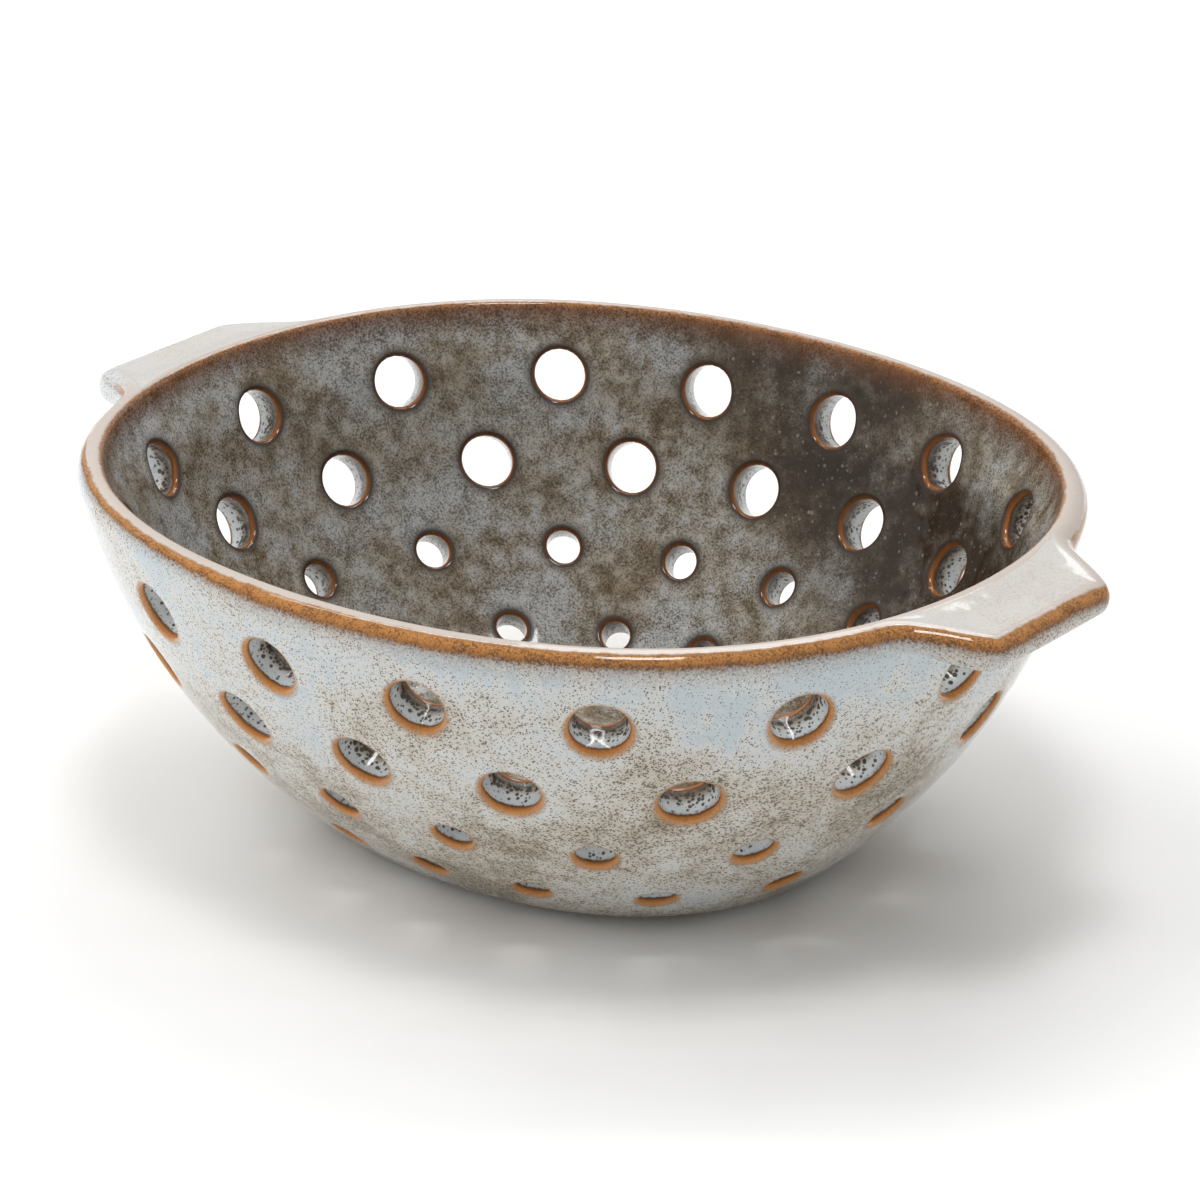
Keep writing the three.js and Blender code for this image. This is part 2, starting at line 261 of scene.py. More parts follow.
def piece_mesh(name, points, quads, runs, material):
    """A smooth mesh object at the origin. Points that fall together become one, quads that lose a corner
    by it become triangles, and each run is a float attribute of the points."""
    keys = np.round(points / SAME_POINT).astype(np.int64)
    _, first, which = np.unique(keys, axis=0, return_index=True, return_inverse=True)
    corners = which.reshape(-1)[quads]
    doubled = corners == np.roll(corners, -1, axis=1)
    whole = corners[~doubled.any(axis=1)]
    cut = doubled.sum(axis=1) == 1
    triangles = corners[cut][~doubled[cut]].reshape(-1, 3)
    mesh = bpy.data.meshes.new(name)
    mesh.from_pydata(points[first].tolist(), [], whole.tolist() + triangles.tolist())
    for run_name, values in runs.items():
        attribute = mesh.attributes.new(run_name, "FLOAT", "POINT")
        attribute.data.foreach_set("value", np.ascontiguousarray(values[first], dtype=np.float32))
    mesh.shade_smooth()
    mesh.materials.append(material)
    piece = bpy.data.objects.new(name, mesh)
    bpy.context.scene.collection.objects.link(piece)
    return piece


def plain_runs(lip_run, inside):
    """Runs of a surface without holes: only its ways from the crest of the lip and its shares of the
    inside are its own."""
    count = len(lip_run)
    return {
        "lip_run": lip_run,
        "hole_out": np.full(count, FAR),
        "hole_in": np.full(count, FAR),
        "hole_high": np.zeros(count),
        "inside": inside,
        "bore": np.zeros(count),
        "lug_top": np.zeros(count),
    }


def lip_run_outside(share):
    """Length of way from the crest of the lip down the outside."""
    return outer_lip_run + (join_share - share) * arc_length


def lip_run_inside(share):
    """Length of way from the crest of the lip down the inside, counted as negative."""
    return -inner_lip_run - (inner_lip_share - share) * arc_length


# Places of the drain holes: shares of the wall, and the step between neighbours in a row
top_row_share = share_at_level(HEIGHT - TOP_ROW_DEPTH)
bottom_row_share = share_at_level(BOTTOM_ROW_HEIGHT)
row_shares = np.linspace(top_row_share, bottom_row_share, len(ROW_BORES))
row_step = row_shares[0] - row_shares[1]
pitch = 2 * math.pi / HOLES_PER_ROW
top_share = row_shares[0] + row_step / 2
bottom_share = row_shares[-1] - row_step / 2


def cell_border():
    """The border of a cell, as places from -1 to 1 across and up: along the bottom, up, back along the top
    and down."""
    side_x = np.linspace(-1, 1, CELL_ACROSS + 1)[:-1]
    side_y = np.linspace(-1, 1, CELL_UP + 1)[:-1]
    border_x = np.concatenate([side_x, np.ones(CELL_UP), -side_x, -np.ones(CELL_UP)])
    border_y = np.concatenate([-np.ones(CELL_ACROSS), side_y, np.ones(CELL_ACROSS), -side_y])
    return border_x, border_y


def cell_rings():
    """The rings of a cell, each value a column. They run in over the outer face from the border to the hole,
    round its soft edge, through the wall, round the inner edge and out over the inner face to the border.

    spread is the part of the way from hole to border. flare and near are a soft edge's ways out along the
    face and in from it, in radii of that edge. through is the part of the way through the wall, and turn_out
    and turn_in are the turns gone round the outer and the inner edge."""
    turn = np.linspace(0, math.pi / 2, EDGE_STEPS + 1)[1:]
    back = turn[::-1]
    bore = np.linspace(0, 1, BORE_STEPS + 1)[1:-1]
    face = np.zeros(len(CELL_SPREAD))
    edge = np.zeros(len(turn))
    wall = np.zeros(len(bore))
    quarter = math.pi / 2
    stages = {
        "spread": [CELL_SPREAD, edge, wall, edge, CELL_SPREAD[::-1]],
        "flare": [face + 1, 1 - np.sin(turn), wall, 1 - np.sin(back), face + 1],
        "near": [face, 1 - np.cos(turn), 1 - 2 * bore, np.cos(back) - 1, face],
        "through": [face, edge, bore, edge + 1, face + 1],
        "turn_out": [face, turn, wall + quarter, edge + quarter, face + quarter],
        "turn_in": [face + quarter, edge + quarter, wall + quarter, back, face],
    }
    return SimpleNamespace(**{name: np.concatenate(parts)[:, None] for name, parts in stages.items()})


def wall_scale(bearing, share):
    """Lengths along the outer face for one radian of bearing and for the whole share, measured at a place."""
    ahead, behind = [shell_point(bearing + step, share, 0, 0) for step in (SCALE_STEP, -SCALE_STEP)]
    above, below = [shell_point(bearing, share + step, 0, 0) for step in (SCALE_STEP, -SCALE_STEP)]
    return [np.linalg.norm(move, axis=-1) / (2 * SCALE_STEP) for move in (ahead - behind, above - below)]


def drain_cells():
    """The wall as one cell round each hole, every second row half a step on. A cell is its rings times the
    points of its border: circles round the hole, in lengths along the wall, that spread to the border over
    both faces."""
    border_x, border_y = cell_border()
    rings = cell_rings()
    row = np.arange(len(ROW_BORES))[:, None]
    centre_bearing = (np.arange(HOLES_PER_ROW)[None, :] + (row % 2) / 2) * pitch + DRAIN_TURN
    centre_share = np.broadcast_to(row_shares[:, None], centre_bearing.shape)
    across_scale, up_scale = [scale[..., None, None] for scale in wall_scale(centre_bearing, centre_share)]

    border_across = border_x * pitch / 2 * across_scale
    border_up = border_y * row_step / 2 * up_scale
    border_reach = np.hypot(border_across, border_up)
    ease = ROW_EASES[:, None, None, None]
    edge = (ROW_BORES / 2)[:, None, None, None] + ease * rings.flare
    reach = edge + (border_reach - edge) * rings.spread
    bearing = centre_bearing[..., None, None] + reach * border_across / border_reach / across_scale
    share = centre_share[..., None, None] + reach * border_up / border_reach / up_scale
    points = shell_point(bearing, share, ease * rings.near, rings.through)

    # Ways from the middles of the two soft edges: out over the face counts up, into the hole down
    edge_middle = ease * math.pi / 4
    bore_way = WALL - 2 * ease
    out_way = edge_middle - ease * rings.turn_out - bore_way * rings.through
    in_way = edge_middle - ease * rings.turn_in - bore_way * (1 - rings.through)
    face_way = reach - edge
    inside = np.broadcast_to(rings.through, share.shape)
    runs = {
        "lip_run": np.where(inside < 0.5, lip_run_outside(share), lip_run_inside(share)),
        "hole_out": np.where(inside < 1, face_way + out_way, FAR),
        "hole_in": np.where(inside > 0, face_way + in_way, FAR),
        "hole_high": np.broadcast_to(border_up / border_reach, share.shape),
        "inside": inside,
        "bore": np.where((inside > 0) & (inside < 1), 1.0, 0.0),
        "lug_top": np.zeros(share.shape),
    }
    ring_count, border_count = share.shape[-2:]
    starts = np.arange(centre_share.size)[:, None, None] * ring_count * border_count
    faces = (grid_quads(ring_count, border_count) + starts).reshape(-1, 4)
    return points.reshape(-1, 3), faces, {name: run.reshape(-1) for name, run in runs.items()}


def oval_strip(profile, share, lip_run, inside):
    """A profile of radius and level carried round the oval, in the same columns as the drain holes' cells."""
    radius, level = profile
    bearing = np.arange(AROUND) * 2 * math.pi / AROUND + DRAIN_TURN
    angle = angle_at(bearing[None, :], share[:, None])
    points = to_oval(radius[:, None], angle, level[:, None])
    runs = plain_runs(np.repeat(lip_run, AROUND), np.repeat(inside, AROUND))
    return points.reshape(-1, 3), grid_quads(len(radius), AROUND), runs


def flat_to_middle(radius, level):
    """Radius and level over a flat, from just inside its edge to its middle."""
    return np.linspace(radius, 0, FLAT_STEPS + 1)[1:], np.full(FLAT_STEPS, level)


def rim_strip():
    """From the top of the cells up the outside, over the lip and down the inside to the cells again."""
    rise = np.linspace(top_share, join_share, RIM_RISE_STEPS + 1)[:-1]
    fall = np.linspace(inner_lip_share, top_share, RIM_FALL_STEPS + 1)[1:]
    outer_turn = np.linspace(outer_start, math.pi / 2, LIP_OUTER_STEPS + 1)
    inner_turn = np.linspace(math.pi / 2, inner_end, LIP_INNER_STEPS + 1)[1:]
    profile = np.concatenate([
        arc_point(rise, 0),
        round_point(outer_centre, LIP_OUTER, outer_turn),
        round_point(inner_centre, LIP_INNER, inner_turn),
        inner_point(fall),
    ], axis=1)
    share = np.concatenate([rise, np.ones(len(outer_turn) + len(inner_turn)), np.minimum(fall, 1)])
    lip_run = np.concatenate([
        lip_run_outside(rise),
        outer_lip_run * (math.pi / 2 - outer_turn) / (math.pi / 2 - outer_start),
        -inner_lip_run * (inner_turn - math.pi / 2) / (inner_end - math.pi / 2),
        lip_run_inside(fall),
    ])
    inside = np.clip(0.5 - lip_run / LIP_BLEND, 0, 1)
    return oval_strip(profile, share, lip_run, inside)


def base_strip():
    """From the middle of the flat underside out to its edge, round it and up the outside to the cells."""
    fall = np.linspace(bottom_share, share_of(base_round_turn), BASE_FALL_STEPS + 1)[:-1]
    turn = np.linspace(base_round_turn, -math.pi / 2, ROUND_STEPS + 1)
    profile = np.concatenate([
        arc_point(fall, 0),
        round_point(base_round_centre, BASE_ROUND, turn),
        flat_to_middle(base_round_centre[0], BASE_LEVEL),
    ], axis=1)
    rows = profile.shape[1]
    return oval_strip(profile[:, ::-1], np.full(rows, bottom_share), np.full(rows, FAR), np.zeros(rows))


def floor_strip():
    """From the bottom of the cells on the inside along the fillet and over the flat floor to its middle."""
    turn = np.linspace(fillet_turn + fillet_way(bottom_share), -math.pi / 2, ROUND_STEPS + 1)
    profile = np.concatenate([
        round_point(fillet_centre, FLOOR_FILLET, turn),
        flat_to_middle(fillet_centre[0], floor_level),
    ], axis=1)
    rows = profile.shape[1]
    return oval_strip(profile, np.full(rows, bottom_share), np.full(rows, -FAR), np.ones(rows))


def joined(parts):
    """Several grids as one: points, faces and runs, with the corner numbers moved on."""
    starts = np.cumsum([0] + [len(points) for points, _, _ in parts])
    points = np.concatenate([points for points, _, _ in parts])
    faces = np.concatenate([quads + start for (_, quads, _), start in zip(parts, starts)])
    runs = {name: np.concatenate([runs[name] for _, _, runs in parts]) for name in parts[0][2]}
    return points, faces, runs


def glazed_body(material):
    """The bowl itself: drain cells, rim, underside and floor welded into one closed skin."""
    points, faces, runs = joined([drain_cells(), rim_strip(), base_strip(), floor_strip()])
    return piece_mesh("glazed_body", points, faces, runs, material)


def unit(vectors):
    """The same directions with length 1."""
    return vectors / np.linalg.norm(vectors, axis=-1, keepdims=True)


def wall_point(angle, share, depth):
    """A point at a depth under the outer face of the wall, at the oval's own angle."""
    radius, level = arc_point(share, depth)
    return to_oval(radius, angle, level)


def lug_outline(angle):
    """The crest of the lip at the handle on the +X end, the handle's outline, and its push: how far the
    outline stands out from the rim, by a smooth S-curve from 0 at both roots to 1 along the straight edge."""
    half = LUG_ROOT_LENGTH / 2
    straight = LUG_EDGE_LENGTH / 2
    top_level = HEIGHT + GLAZE_LAP
    crest = to_oval(crest_radius, angle, top_level)
    outline = to_oval(crest_radius + LIP_OUTER[0] + GLAZE_LAP, angle, top_level)
    along = np.clip((half - np.abs(outline[..., 1])) / (half - straight), 0, 1)
    push = along ** 3 * (along * (6 * along - 15) + 10)
    outline[..., 0] += push * (LUG_EDGE - outline[..., 0])
    outline[..., 2] -= push * LUG_DROOP
    return crest, outline, push


def lug_upper_side(crest, outline, push, nose_turn):
    """The flat top, a little dished, from the crest of the lip outwards, and an elliptic nose square to the
    outline."""
    way = np.gradient(outline, axis=0)
    square = unit(np.stack([way[..., 1], -way[..., 0], 0 * push], axis=-1))
    plate = (1 - (1 - push) ** LUG_PLATE_POWER)[..., None]
    nose_start = crest + plate * (outline - square * LUG_NOSE[0] - crest)
    nose_down = LIP_OUTER[1] + (LUG_NOSE[1] - LIP_OUTER[1]) * push
    flat = np.linspace(0, 1, LUG_TOP_STEPS + 1)[None, :-1]
    top = crest + (nose_start - crest) * flat[..., None]
    top[..., 2] -= LUG_DISH * push * np.sin(math.pi * flat) ** 2
    nose = nose_start + (outline - nose_start) * np.cos(nose_turn)[..., None]
    nose[..., 2] -= nose_down * (1 - np.sin(nose_turn))
    return top, nose


def lug_underside(angle, tip, push):
    """Back under along a cubic curve that leaves the tip of the nose straight down and meets the wall at its
    own lean, and the share of the wall where it ends."""
    wall_level = join_level - LIP_INNER + (HEIGHT - LUG_ROOT_DEPTH - join_level + LIP_INNER) * push
    wall_share = share_at_level(wall_level)
    wall = wall_point(angle, wall_share, -GLAZE_LAP)
    wall_up = unit(wall_point(angle, wall_share + LEAN_STEP, -GLAZE_LAP) - wall)
    tip_pull = tip + DOWN * (LUG_ROOT_PULL + (LUG_FACE - LUG_ROOT_PULL) * push)[..., None]
    wall_pull = wall + wall_up * (LUG_ROOT_PULL + (LUG_COVE - LUG_ROOT_PULL) * push)[..., None]
    done = np.linspace(0, 1, LUG_UNDER_STEPS + 1)[None, 1:, None]
    left = 1 - done
    near_tip = left ** 3 * tip + 3 * left ** 2 * done * tip_pull
    return near_tip + 3 * left * done ** 2 * wall_pull + done ** 3 * wall, wall_share


def lug_grid():
    """The handle on the +X end as sections along the rim. Each section runs over the flat top, round the nose
    and back under to the wall, and closes inside the wall. At both roots it is the lip's own round, and there
    the ends close to a point inside the wall. Its runs are the ways from the crest of the lip and the shares
    of plain top."""
    root_angle = math.asin(LUG_ROOT_LENGTH / RIM_WIDTH)
    angle = np.linspace(-root_angle, root_angle, LUG_ALONG + 1)[:, None]
    nose_turn = np.linspace(math.pi / 2, 0, LUG_NOSE_STEPS + 1)[None, :]
    crest, outline, push = lug_outline(angle)
    top, nose = lug_upper_side(crest, outline, push, nose_turn)
    tip = nose[:, -1:]
    under, wall_share = lug_underside(angle, tip, push)
    sunk_wall = wall_point(angle, wall_share, LUG_SINK)
    sunk_crest = crest + DOWN * LUG_SINK
    sections = np.concatenate([top, nose, under, sunk_wall, sunk_crest], axis=1)
    ends = np.broadcast_to(sunk_crest[[0, -1]], (2, *sections.shape[1:]))
    points = np.concatenate([ends[:1], sections, ends[1:]])

    nose_length = outer_lip_run * (math.pi / 2) / (math.pi / 2 - outer_start)
    nose_run = np.broadcast_to(nose_length * (1 - nose_turn * 2 / math.pi), nose.shape[:2])
    under_steps = np.diff(np.concatenate([tip, under], axis=1), axis=1)
    under_run = nose_length + np.cumsum(np.linalg.norm(under_steps, axis=-1), axis=1)
    sunk_run = np.full((len(angle), 2), FAR)
    lip_run = np.concatenate([np.zeros(top.shape[:2]), nose_run, under_run, sunk_run], axis=1)
    lip_run = np.pad(lip_run, ((1, 1), (0, 0)), constant_values=FAR)
    lug_top = np.zeros(points.shape[:2])
    lug_top[1:-1, 1:top.shape[1] + 1] = np.minimum(push / LUG_TOP_FROM, 1)
    faces = grid_quads(*points.shape[:2])
    return points.reshape(-1, 3), faces, lip_run.reshape(-1), lug_top.reshape(-1)


def lug_handle(name, half_turn, material):
    """One handle; the far one is the same grid turned half round about Z."""
    points, faces, lip_run, lug_top = lug_grid()
    if half_turn:
        points = points * np.array([-1, -1, 1])
    runs = plain_runs(lip_run, np.zeros(len(points)))
    runs["lug_top"] = lug_top
    piece = piece_mesh(name, points, faces, runs, material)
    piece.data.set_sharp_from_angle(angle=SHARP_EDGE)
    return piece


def foot_ring(material):
    """A low ring under the base: down its inner side, round two soft edges, up its outer side and into the
    base."""
    outer = FOOT_EDGE - oval_shift
    inner = outer - FOOT_WIDTH
    top = BASE_LEVEL + FOOT_SINK
    inner_turn = np.linspace(math.pi, 1.5 * math.pi, FOOT_ROUND_STEPS + 1)
    outer_turn = np.linspace(-math.pi / 2, 0, FOOT_ROUND_STEPS + 1)
    radius, level = np.concatenate([
        ([inner], [top]),
        round_point((inner + FOOT_ROUND, FOOT_ROUND), FOOT_ROUND, inner_turn),
        round_point((outer - FOOT_ROUND, FOOT_ROUND), FOOT_ROUND, outer_turn),
        ([outer, inner], [top, top]),
    ], axis=1)
    angle = np.arange(AROUND) * 2 * math.pi / AROUND
    points = to_oval(radius[:, None], angle[None, :], level[:, None])
    faces = grid_quads(len(radius), AROUND)
    piece = piece_mesh("bare_foot_ring", points.reshape(-1, 3), faces, {}, material)
    piece.data.set_sharp_from_angle(angle=SHARP_EDGE)
    return piece


def linear(hex_colour):
    """An sRGB hex colour as linear red, green, blue and alpha 1."""
    channels = np.array([int(hex_colour[i:i + 2], 16) for i in (1, 3, 5)]) / 255
    curved = np.where(channels <= 0.04045, channels / 12.92, ((channels + 0.055) / 1.055) ** 2.4)
    return (*curved.tolist(), 1.0)


def add(tree, kind, inputs=None, output=0, stops=None, **settings):
    """Adds one node of a kind with its settings, links or sets its inputs, fills a ramp from (place, colour,
    alpha) stops, and gives back one of its outputs."""
    made = tree.nodes.new("ShaderNode" + kind)
    for name, value in settings.items():
        setattr(made, name, value)
    for place, value in (inputs or {}).items():
        if isinstance(value, bpy.types.NodeSocket):
            tree.links.new(value, made.inputs[place])
        else:
            made.inputs[place].default_value = value
    if stops:
        elements = made.color_ramp.elements
        while len(elements) < len(stops):
            elements.new(1.0)
        for element, (place, colour, alpha) in zip(elements, stops):
            element.position = place
            element.color = (*linear(colour)[:3], alpha)
    return made.outputs[output]


def shader(name):
    """A new material and its tree and surface shader."""
    material = bpy.data.materials.new(name)
    material.use_nodes = True
    return material, material.node_tree, material.node_tree.nodes["Principled BSDF"]


# Widths and depths of the patterns in the glaze and in the bare clay
CLOUD = 26 * MM                 # pale and brown clouds
CLOUD_DRIFT = (0.276, 0.097, 0.363)  # moves the clouds to where the pale patches lie
MOTTLE = 4 * MM                 # mottling within them
FINE = 0.45 * MM                # finest grain of the glaze
STREAK = 1.0 * MM               # runs of glaze inside the lip
STREAK_STRETCH = 4              # how much longer than wide they are
PEPPER = 0.4 * MM               # iron specks outside
SPOT = 0.85 * MM                # dark spots on the walls of the holes, pale crystals inside
PEEL = 5 * MM                   # soft unevenness of the glazed surface
PEEL_DEPTH = 0.1 * MM
GRIT = 0.8 * MM                 # sand in the bare clay
GRIT_DEPTH = 0.08 * MM

# Colours that lie over the glaze's own
IRON_PEPPER = "#564630"
# Dark pooled glaze inside, which also stands in for painted shadow
THICK_POOL_AND_SHADE = "#2b1e14"
CRYSTAL = "#b5aea2"
DARK_GRAIN = "#2a2118"          # inside, and spots on the walls of the holes
RING_GRAIN = "#6b4424"
LIP_GRAIN = "#452c17"
# Milky glaze of the handle tops, lightened in part as a painted sheen
LUG_MILK_AND_SHEEN = "#cbc6c0"

# Weights and other measures of the glaze
MOTTLE_IN_CLOUDS = 0.45
MOTTLE_IN_GRAIN = 0.4
# Slants of the dark zone inside, which is partly pooled glaze and partly painted shadow
FAR_POOL_AND_SHADE_SLANT = 0.12           # of the way along X, added to the way along Y
RIGHT_POOL_AND_SHADE_SLANT = 0.5
OUTER_RAGGED = 0.5              # raggedness of the rust round the two edges of a hole
INNER_RAGGED = 0.6
RING_GRAIN_SHARE = 0.4
LUG_MILK_AND_SHEEN_SHARE = 0.8
PALE_CREST = 1.8 * MM           # way from the crest of the lip to where the band's narrowing starts

GLAZE_IOR = 1.52                # of a glassy coat

# Runs of the surface that the glaze follows. lip_run is the way from the crest of the lip, negative inside.
# hole_out and hole_in are the ways from the outer and the inner edge of a hole, negative into the hole, and
# hole_high goes from -1 under a hole to 1 over it. inside goes from 0 on the outer face to 1 on the
# inner one, bore marks the walls of the holes, and lug_top the flat tops of the handles.
RUNS = ("lip_run", "hole_out", "hole_in", "hole_high", "inside", "bore", "lug_top")
MIX = {"data_type": "RGBA", "output": 2}  # of colours: 0 is the share, 6 what lies below and 7 what covers it
EASED = {"interpolation_type": "SMOOTHSTEP"}


def glaze_fields(tree):
    """What the glaze is worked out from: the place in the bowl's frame, the runs of the surface, and patterns
    that are each as wide as a real feature of the glaze."""
    field = SimpleNamespace()
    for run_name in RUNS:
        setattr(field, run_name, add(tree, "Attribute", output="Fac", attribute_name=run_name))
    field.place = add(tree, "TexCoord", output="Object")
    field.along, field.across, field.level = [
        add(tree, "SeparateXYZ", {0: field.place}, output=axis) for axis in "XYZ"
    ]

    drift = add(tree, "Mapping", {"Vector": field.place, "Location": CLOUD_DRIFT})
    clouds = add(tree, "TexNoise", {
        "Vector": drift, "Scale": 1 / CLOUD, "Detail": 4.0, "Roughness": 0.6,
    })
    mottle = add(tree, "TexNoise", {
        "Vector": field.place, "Scale": 1 / MOTTLE, "Detail": 4.0, "Roughness": 0.65,
    })
    fine = add(tree, "TexNoise", {
        "Vector": field.place, "Scale": 1 / FINE, "Detail": 3.0, "Roughness": 0.7,
    })
    upright = add(tree, "Mapping", {"Vector": field.place, "Scale": (1.0, 1.0, 1 / STREAK_STRETCH)})
    field.streak = add(tree, "TexNoise", {
        "Vector": upright, "Scale": 1 / STREAK, "Detail": 3.0, "Roughness": 0.6,
    })
    field.pepper, field.spot = [
        add(tree, "TexVoronoi", {"Vector": field.place, "Scale": 1 / width}, output="Distance")
        for width in (PEPPER, SPOT)
    ]
    field.mixed = add(tree, "Math", {0: mottle, 1: MOTTLE_IN_CLOUDS, 2: clouds}, operation="MULTIPLY_ADD")
    field.grain = add(tree, "Math", {0: mottle, 1: MOTTLE_IN_GRAIN, 2: fine}, operation="MULTIPLY_ADD")

    # The borders of the rust are moved and broken up by the fine and the coarser pattern
    fuzz = add(tree, "MapRange", {
        "Value": fine, "From Min": 0.3, "From Max": 0.7, "To Min": -0.06 * MM, "To Max": 0.06 * MM,
    })
    wander = add(tree, "MapRange", {
        "Value": mottle, "From Min": 0.3, "From Max": 0.7, "To Min": -0.3 * MM, "To Max": 0.3 * MM,
    })
    field.ragged = add(tree, "Math", {0: fuzz, 1: wander}, operation="ADD")
    field.dither = add(tree, "MapRange", {
        "Value": fine, "From Min": 0.4, "From Max": 0.6, "To Min": -0.25, "To Max": 0.25,
    })
    field.rust_grain = add(tree, "MapRange", {
        "Value": field.grain, "From Min": 0.65, "From Max": 0.82, "To Max": 0.8,
    })
    return field


def specks(tree, cells, rarity, size, border, most):
    """Share of a colour that lies in specks. A speck reaches out from the middle of its cell by a size times
    the cell's own chance to the power of a rarity, has a soft border, and covers what lies below by so much
    at most."""
    rare = add(tree, "Math", {0: cells.node.outputs["Color"], 1: rarity}, operation="POWER")
    reach = add(tree, "Math", {0: rare, 1: size}, operation="MULTIPLY")
    over = add(tree, "Math", {0: reach, 1: cells}, operation="SUBTRACT")
    return add(tree, "MapRange", {
        "Value": over, "From Min": border[0], "From Max": border[1], "To Max": most,
    })


def broken(tree, field, share, amount, least):
    """A share whose soft borders are broken into grains by the fine pattern: less than the least is none."""
    noisy = add(tree, "Math", {0: field.dither, 1: amount, 2: share}, operation="MULTIPLY_ADD")
    return add(tree, "MapRange", {"Value": noisy, "From Min": least, "From Max": 1 - least})


def outside_glaze(tree, field):
    """Outside: milky blue-grey peppered with iron, more in the clouds and towards the foot. It is paler
    towards the rim and darker towards the foot, partly by the glaze's own change and partly as painted shade.
    Gives the colour and the share of iron."""
    # Painted shade in part: shifts the glaze paler near the rim and darker, with larger specks, towards the
    # foot
    low = add(tree, "MapRange", {
        "Value": field.level, "From Min": 66 * MM, "From Max": 4 * MM, "To Min": -0.15, "To Max": 0.09,
    })
    cloudy_and_shaded = add(tree, "Math", {0: field.mixed, 1: low}, operation="ADD")
    milk = add(tree, "ValToRGB", {0: cloudy_and_shaded}, output="Color", stops=[
        (0.50, "#c2ccd1", 1), (0.58, "#d0d3d2", 1), (0.66, "#d2d0ca", 1), (0.78, "#c5beb1", 1),
        (0.95, "#9a8e79", 1),
    ])
    pepper_size = add(tree, "MapRange", {
        "Value": cloudy_and_shaded, "From Min": 0.5, "From Max": 0.92, "To Min": 0.5, "To Max": 1.2,
    })
    iron = specks(tree, field.pepper, rarity=1.5, size=pepper_size, border=(-0.06, 0.1), most=0.85)
    return add(tree, "Mix", {0: iron, 6: milk, 7: linear(IRON_PEPPER)}, **MIX), iron


def thick_pool_and_shade(tree, field):
    """Share of dark colour inside, partly thick pooled glaze and partly painted shadow: high on the +Y side,
    less towards the +X end, and below the rim on the +X +Y side; thinner in the pale clouds."""
    # Partly pooled glaze and partly painted shadow: darker on the +Y side and below the rim on the +X +Y side
    far_side = add(tree, "Math", {
        0: field.along, 1: FAR_POOL_AND_SHADE_SLANT, 2: field.across,
    }, operation="MULTIPLY_ADD")
    far = add(tree, "MapRange", {
        "Value": far_side, "From Min": 62 * MM, "From Max": 84 * MM, "To Max": 1.0,
    }, **EASED)
    before_end = add(tree, "MapRange", {
        "Value": field.along, "From Min": 8 * MM, "From Max": 45 * MM, "To Min": 1.0, "To Max": 0.35,
    }, **EASED)
    high = add(tree, "Math", {0: far, 1: before_end}, operation="MULTIPLY")
    right_side = add(tree, "Math", {
        0: field.along, 1: RIGHT_POOL_AND_SHADE_SLANT, 2: field.across,
    }, operation="MULTIPLY_ADD")
    right = add(tree, "MapRange", {
        "Value": right_side, "From Min": 56 * MM, "From Max": 78 * MM, "To Max": 0.95,
    }, **EASED)
    under_rim = add(tree, "MapRange", {
        "Value": field.level, "From Min": 67 * MM, "From Max": 57 * MM,
    }, **EASED)
    low = add(tree, "Math", {0: right, 1: under_rim}, operation="MULTIPLY")
    thick = add(tree, "Math", {0: high, 1: low}, operation="MAXIMUM")
    cloud = add(tree, "MapRange", {
        "Value": field.mixed, "From Min": 0.55, "From Max": 0.82, "To Min": 0.6, "To Max": 1.0,
    })
    return add(tree, "Math", {0: thick, 1: cloud}, operation="MULTIPLY")


def inside_glaze(tree, field):
    """Inside: olive-brown where the glaze pooled, thinner and greyer at both ends, with blue-grey bloom,
    thick dark pools that are partly painted shadow, pale crystals and dense dark grain."""
    left_tone = add(tree, "MapRange", {
        "Value": field.along, "From Min": -85 * MM, "From Max": -25 * MM, "To Min": -0.07, "To Max": 0.0,
    })
    right_tone = add(tree, "MapRange", {
        "Value": field.along, "From Min": 65 * MM, "From Max": 90 * MM, "To Min": 0.0, "To Max": -0.07,
    })
    end_tone = add(tree, "Math", {0: left_tone, 1: right_tone}, operation="ADD")
    tone = add(tree, "Math", {0: field.mixed, 1: end_tone}, operation="ADD")
    pooled = add(tree, "ValToRGB", {0: tone}, output="Color", stops=[
        (0.58, "#b0b0ae", 1), (0.70, "#a0988a", 1), (0.80, "#84745c", 1), (0.94, "#5d4b31", 1),
    ])
    crystals = specks(tree, field.spot, rarity=3.0, size=0.85, border=(0.0, 0.4), most=0.4)
    grains = add(tree, "MapRange", {
        "Value": field.grain, "From Min": 0.63, "From Max": 0.83, "To Max": 0.8,
    })
    # The first cover is dark pooled glaze with painted shadow in it
    covers = ((thick_pool_and_shade(tree, field), THICK_POOL_AND_SHADE), (crystals, CRYSTAL), (grains, DARK_GRAIN))
    for share, colour in covers:
        pooled = add(tree, "Mix", {0: share, 6: pooled, 7: linear(colour)}, **MIX)
    return pooled


def hole_wall_glaze(tree, field):
    """Walls of the holes: pale, and dark towards the inside by spots that gather and run together. The tone
    is lifted pale at the outer end as painted light, and darkens towards the inner end partly as dark
    glaze and partly as painted shade.
    """
    # Painted light and shade in part: pale at the outer end of a hole, dark towards its inner end
    tone = add(tree, "ValToRGB", {0: field.inside}, output="Color", stops=[
        (0.08, "#d6dfe4", 1), (0.45, "#d0d3d1", 1), (0.66, "#9a8f80", 1), (0.88, "#3a2e22", 1),
    ])
    size = add(tree, "MapRange", {"Value": field.inside, "To Min": 0.3, "To Max": 1.4})
    spots = specks(tree, field.spot, rarity=1.0, size=size, border=(-0.08, 0.12), most=0.9)
    return add(tree, "Mix", {0: spots, 6: tone, 7: linear(DARK_GRAIN)}, **MIX)


